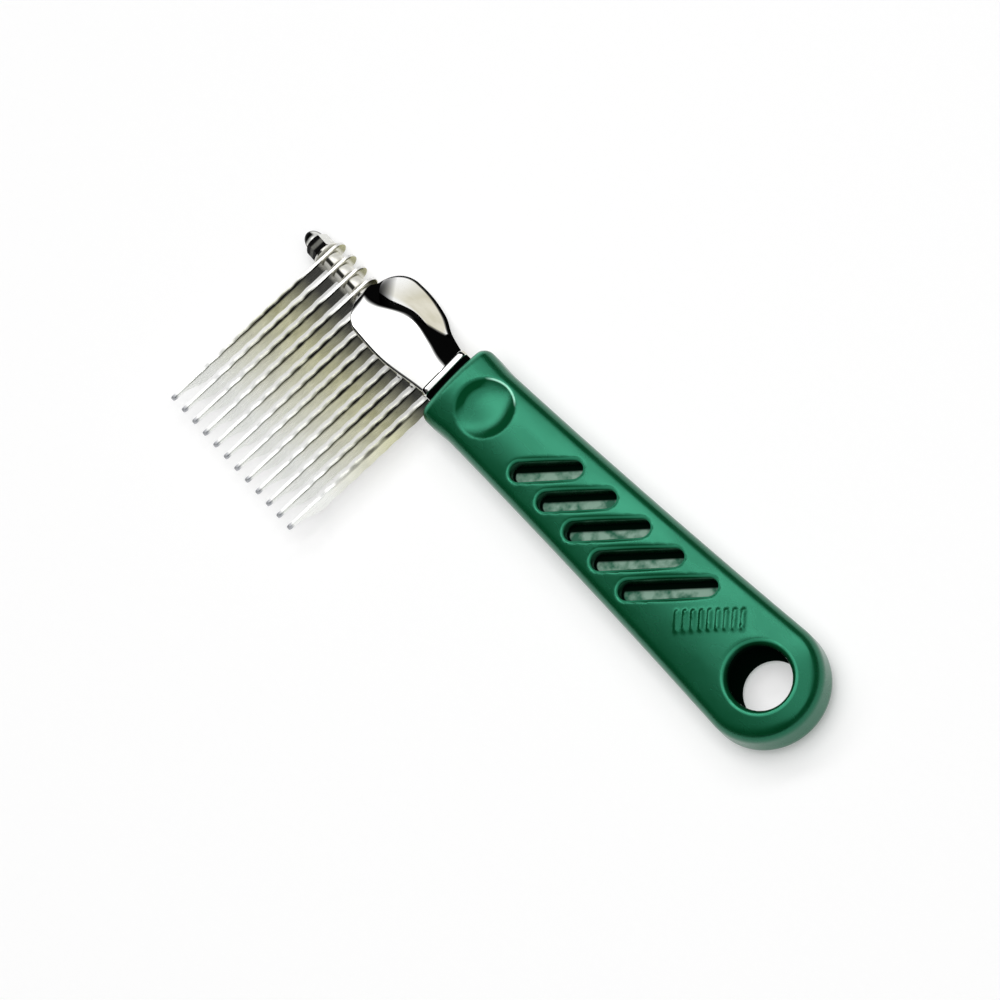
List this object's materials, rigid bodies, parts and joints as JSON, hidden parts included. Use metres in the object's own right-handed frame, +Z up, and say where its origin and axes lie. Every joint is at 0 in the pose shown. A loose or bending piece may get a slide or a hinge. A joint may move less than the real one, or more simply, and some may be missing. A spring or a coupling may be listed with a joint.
{
  "type": "dematting curry comb",
  "caption": "Hand comb with long wavy-edged steel blades clamped on a rod under a chromed thumb rest, and a slotted moulded handle with a hanging hole.",
  "frame": {"origin": "middle of the footprint, on the surface that the handle lies on", "axes": "+X from the cap nut towards the butt of the handle, -Y the way the blades point, +Z up from the surface"},
  "size_m": [0.1828, 0.0664, 0.014],
  "materials": {
    "green_plastic": "glossy moulded",
    "chrome": "polished plating",
    "blade_steel": "satin",
    "bright_steel": "bright turned",
    "nut_plate": "dark nickel plating"
  },
  "bodies": {
    "comb": {"handle": "green_plastic", "thumb_rest": "chrome", "blade_rod": "bright_steel", "blade_01": "blade_steel", "blade_02": "blade_steel", "blade_03": "blade_steel", "blade_04": "blade_steel", "blade_05": "blade_steel", "blade_06": "blade_steel", "blade_07": "blade_steel", "blade_08": "blade_steel", "blade_09": "blade_steel", "blade_10": "blade_steel", "blade_11": "blade_steel", "blade_12": "blade_steel", "spacer_01": "bright_steel", "spacer_02": "bright_steel", "spacer_03": "bright_steel", "spacer_04": "bright_steel", "spacer_05": "bright_steel", "spacer_06": "bright_steel", "spacer_07": "bright_steel", "spacer_08": "bright_steel", "spacer_09": "bright_steel", "spacer_10": "bright_steel", "spacer_11": "bright_steel"},
    "washer": {"clamp_washer": "bright_steel"},
    "nut": {"cap_nut": "nut_plate"}
  },
  "joints": [
    {"name": "nut_travel", "type": "slide", "parent": "comb", "child": "washer", "axis": [-0.9983, 0.0576, 0], "range_m": [0, 0.0035]},
    {"name": "nut_turn", "type": "hinge", "parent": "washer", "child": "nut", "pos_m": [-0.08449, 0.01893, 0.0055], "axis": [-0.9983, 0.0576, 0], "range_deg": [0, 2520]}
  ],
  "couplings": [
    {"joint": "nut_turn", "follows": "nut_travel", "rad_per_m": 12566}
  ]
}
